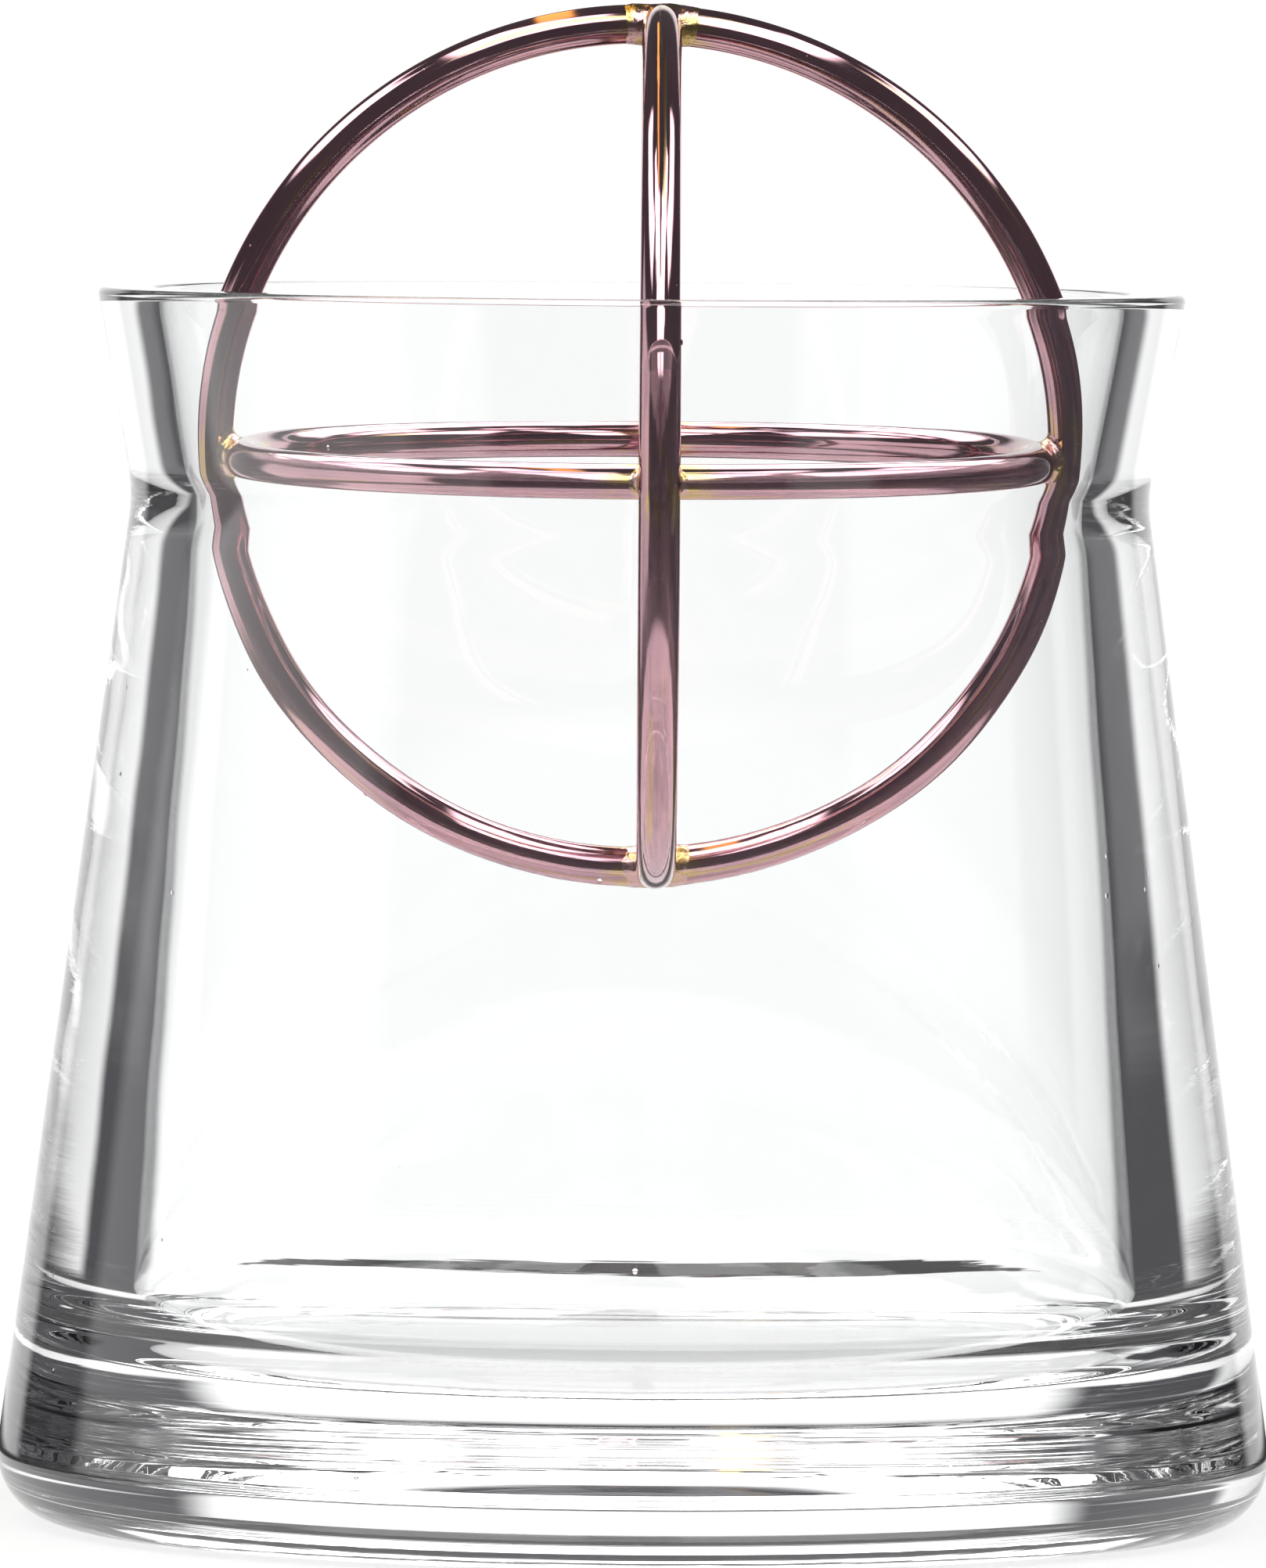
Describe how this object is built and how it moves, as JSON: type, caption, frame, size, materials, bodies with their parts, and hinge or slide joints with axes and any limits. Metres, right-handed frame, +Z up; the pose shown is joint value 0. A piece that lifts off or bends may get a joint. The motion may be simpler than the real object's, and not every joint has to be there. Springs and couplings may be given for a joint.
{
  "type": "vase with wire sphere flower holder",
  "caption": "Clear thick-walled glass vase with a waisted neck and flared rim, holding a loose rose-gold wire sphere that spaces flower stems.",
  "frame": {"origin": "middle of the vase's flat base, on the table", "axes": "+Z up along the vase's axis, -Y towards the front, +X to the right as seen from the front"},
  "size_m": [0.1276, 0.1276, 0.1526],
  "materials": {
    "clear_glass": "clear fire-polished soda glass",
    "rose_gold_rod": "bright rose-gold copper plating on steel rod",
    "brass_braze": "bright plated brazing, slightly golden"
  },
  "bodies": {
    "vase": {"vase": "clear_glass"},
    "wire_sphere": {"hoop_front_back": "rose_gold_rod", "arc_left": "rose_gold_rod", "arc_right": "rose_gold_rod", "belt_ring": "rose_gold_rod", "braze_top": "brass_braze", "braze_bottom": "brass_braze", "braze_left": "brass_braze", "braze_right": "brass_braze", "braze_front": "brass_braze", "braze_rear": "brass_braze"}
  },
  "joints": [
    {"name": "sphere_lift", "type": "slide", "parent": "vase", "child": "wire_sphere", "axis": [0, 0, 1], "range_m": [0, 0.07]}
  ]
}
